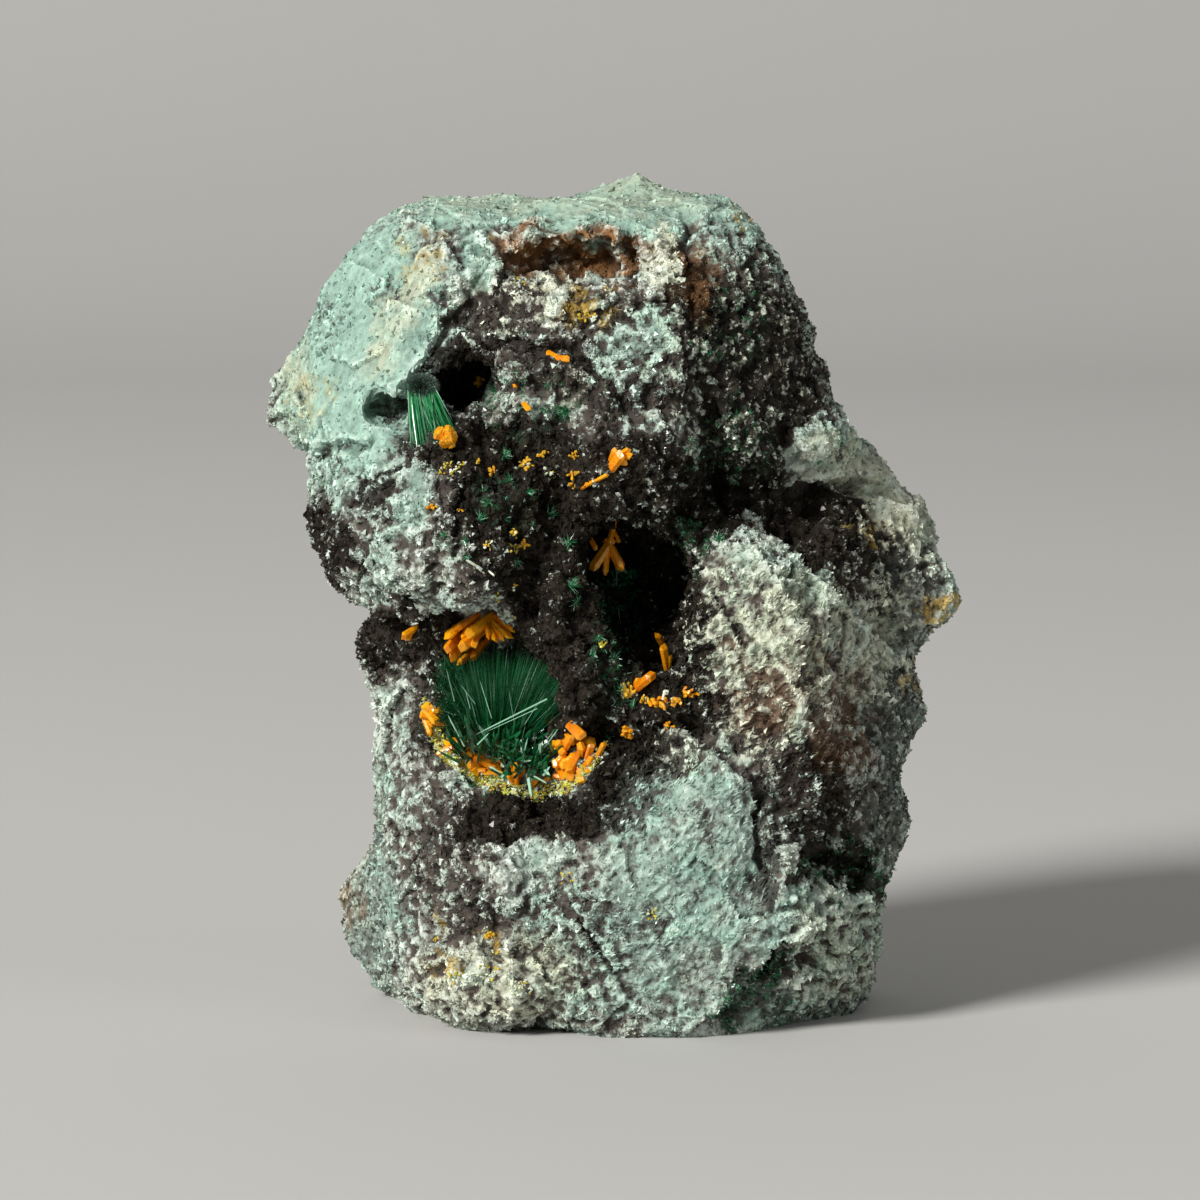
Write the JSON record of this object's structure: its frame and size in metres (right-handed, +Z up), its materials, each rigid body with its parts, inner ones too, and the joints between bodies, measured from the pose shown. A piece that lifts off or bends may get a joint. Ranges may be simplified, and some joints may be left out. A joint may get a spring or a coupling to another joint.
{
  "type": "kasolite and malachite mineral specimen",
  "caption": "Rough copper-ore stone that stands upright on its broken base, with orange kasolite blades and green malachite sprays in its pocket, vug and small holes.",
  "frame": {"origin": "on the surface that the specimen stands on, under the middle of its bounding box", "axes": "+Z up along the stone's height; the front with the crystals faces -Y; +X is to the right seen from the front"},
  "size_m": [0.0293, 0.0229, 0.0351],
  "materials": {
    "stone": "rough broken rock with a sugary micro-crystal skin, pale mint and grey, brown oxide between",
    "kasolite": "glassy to waxy orange blades with chisel tips",
    "malachite": "silky to glassy emerald needles"
  },
  "bodies": {
    "root": {"stone": "stone", "kasolite_rim_crust": "kasolite", "kasolite_sheaf_cap": "kasolite", "kasolite_ledge_cluster": "kasolite", "kasolite_waist_blade": "kasolite", "kasolite_vug_blades": "kasolite", "kasolite_lip_blade": "kasolite", "kasolite_lip_prism": "kasolite", "kasolite_lip_crust": "kasolite", "kasolite_brow_tuft": "kasolite", "kasolite_knoll_blade": "kasolite", "kasolite_saddle_blade": "kasolite", "malachite_sheaf": "malachite", "malachite_pocket_spray": "malachite", "malachite_vug_crystals": "malachite"}
  },
  "joints": []
}
